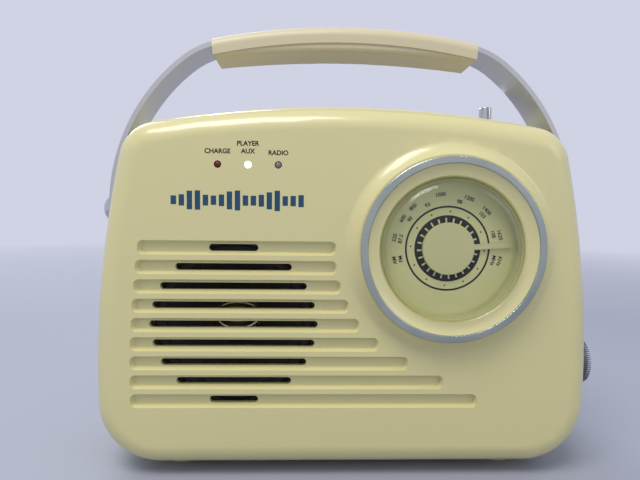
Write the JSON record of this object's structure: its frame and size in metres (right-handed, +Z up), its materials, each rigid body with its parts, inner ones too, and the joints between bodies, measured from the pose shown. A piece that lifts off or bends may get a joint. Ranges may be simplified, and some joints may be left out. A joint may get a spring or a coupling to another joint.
{
  "type": "portable radio",
  "caption": "Retro portable radio in a rounded case, with slotted loudspeaker grille, round tuning dial, folding carrying handle, telescopic antenna and side volume knob.",
  "frame": {"origin": "on the surface the radio stands on, below the middle of the handle's pivot axis", "axes": "+Z up, -Y out of the front with the dial and grille, +X to the right seen from the front"},
  "size_m": [0.2589, 0.0824, 0.2222],
  "materials": {
    "cream_shell": "glossy moulded cream plastic",
    "cream_grip": "semi-gloss cream soft-touch moulding",
    "cream_dial": "glossy cream plastic with printed scale",
    "chrome_ring": "bright chrome plating",
    "band_metal": "satin anodised aluminium strip",
    "steel": "zinc-plated steel",
    "chrome": "bright chrome plating",
    "clear_lens": "clear polished acrylic",
    "dark_knob": "gunmetal gloss plastic",
    "dark_plastic": "fine-textured black plastic",
    "circuit_board": "green solder mask",
    "speaker_paper": "pressed black paper pulp",
    "foam": "closed-cell foam",
    "ferrite": "dark sintered ferrite",
    "copper": "enamelled copper wire",
    "cell_wrap": "shrink-wrapped sleeve",
    "nylon": "white nylon",
    "lamp_red": "tinted epoxy, unlit",
    "lamp_white": "lit clear epoxy",
    "lamp_grey": "clear epoxy, unlit"
  },
  "bodies": {
    "case": {"front_shell": "cream_shell", "rear_shell": "cream_shell", "feet": "cream_shell", "case_screws": "steel", "board_screws": "steel", "pivot_nuts": "steel", "dial_cone": "cream_dial", "dial_plate": "cream_dial", "dial_ring": "chrome_ring", "tuning_capacitor": "nylon", "main_board": "circuit_board", "lamp_board": "circuit_board", "volume_board": "circuit_board", "button_board": "circuit_board", "socket_board": "circuit_board", "lamp_charge": "lamp_red", "lamp_player": "lamp_white", "lamp_radio": "lamp_grey", "speaker_gasket": "foam", "speaker_frame": "steel", "speaker_surround": "foam", "speaker_cone": "speaker_paper", "dust_cap": "chrome", "speaker_magnet": "ferrite", "speaker_yoke": "steel", "volume_pot": "dark_plastic", "button_panel": "dark_plastic", "button_switches": "dark_plastic", "socket_panel": "dark_plastic", "usb_socket": "steel", "card_socket": "steel", "power_socket": "steel", "aux_jack": "dark_plastic", "band_switch": "steel", "battery_cell": "cell_wrap", "battery_contacts": "steel", "ferrite_rod": "ferrite", "ferrite_coil": "copper", "antenna_collar": "dark_plastic", "antenna_tube": "chrome", "pivot_washers": "nylon", "pivot_screws": "chrome"},
    "handle": {"handle_band": "band_metal", "grip_top": "cream_grip", "grip_base": "cream_grip"},
    "tuning": {"tuning_dome": "clear_lens", "pointer": "cream_dial", "tuning_shaft": "steel"},
    "volume": {"volume_knob": "dark_knob", "volume_shaft": "steel"},
    "mode_button": {"button_mode": "dark_knob"},
    "previous_button": {"button_previous": "dark_knob"},
    "play_button": {"button_play": "dark_knob"},
    "next_button": {"button_next": "dark_knob"},
    "band_selector": {"band_slider": "dark_plastic"},
    "battery_lid": {"battery_door": "cream_shell"},
    "antenna_stage_1": {"antenna_section_1": "chrome"},
    "antenna_stage_2": {"antenna_section_2": "chrome"},
    "antenna_stage_3": {"antenna_section_3": "chrome"},
    "antenna_stage_4": {"antenna_tip": "chrome"}
  },
  "joints": [
    {"name": "handle_fold", "type": "hinge", "parent": "case", "child": "handle", "pos_m": [0, 0, 0.129], "axis": [-1, 0, 0], "range_deg": [-55, 55]},
    {"name": "tuning_turn", "type": "hinge", "parent": "case", "child": "tuning", "pos_m": [0.0487, 0, 0.1117], "axis": [0, -1, 0], "range_deg": [0, 180]},
    {"name": "volume_turn", "type": "hinge", "parent": "case", "child": "volume", "pos_m": [0, -0.006, 0.05], "axis": [1, 0, 0], "range_deg": [0, 300]},
    {"name": "mode_press", "type": "slide", "parent": "case", "child": "mode_button", "axis": [0, 0, -1], "range_m": [0, 0.0008], "stiffness_N_per_m": 400, "springref_m": -0.0006},
    {"name": "previous_press", "type": "slide", "parent": "case", "child": "previous_button", "axis": [0, 0, -1], "range_m": [0, 0.0008], "stiffness_N_per_m": 400, "springref_m": -0.0006},
    {"name": "play_press", "type": "slide", "parent": "case", "child": "play_button", "axis": [0, 0, -1], "range_m": [0, 0.0008], "stiffness_N_per_m": 400, "springref_m": -0.0006},
    {"name": "next_press", "type": "slide", "parent": "case", "child": "next_button", "axis": [0, 0, -1], "range_m": [0, 0.0008], "stiffness_N_per_m": 400, "springref_m": -0.0006},
    {"name": "band_slide", "type": "slide", "parent": "case", "child": "band_selector", "axis": [1, 0, 0], "range_m": [0, 0.004]},
    {"name": "battery_lid_pull", "type": "slide", "parent": "case", "child": "battery_lid", "axis": [0, 1, 0], "range_m": [0, 0.02]},
    {"name": "antenna_pull_1", "type": "slide", "parent": "case", "child": "antenna_stage_1", "axis": [0, 0, 1], "range_m": [0, 0.112]},
    {"name": "antenna_pull_2", "type": "slide", "parent": "antenna_stage_1", "child": "antenna_stage_2", "axis": [0, 0, 1], "range_m": [0, 0.112]},
    {"name": "antenna_pull_3", "type": "slide", "parent": "antenna_stage_2", "child": "antenna_stage_3", "axis": [0, 0, 1], "range_m": [0, 0.112]},
    {"name": "antenna_pull_4", "type": "slide", "parent": "antenna_stage_3", "child": "antenna_stage_4", "axis": [0, 0, 1], "range_m": [0, 0.112]}
  ]
}
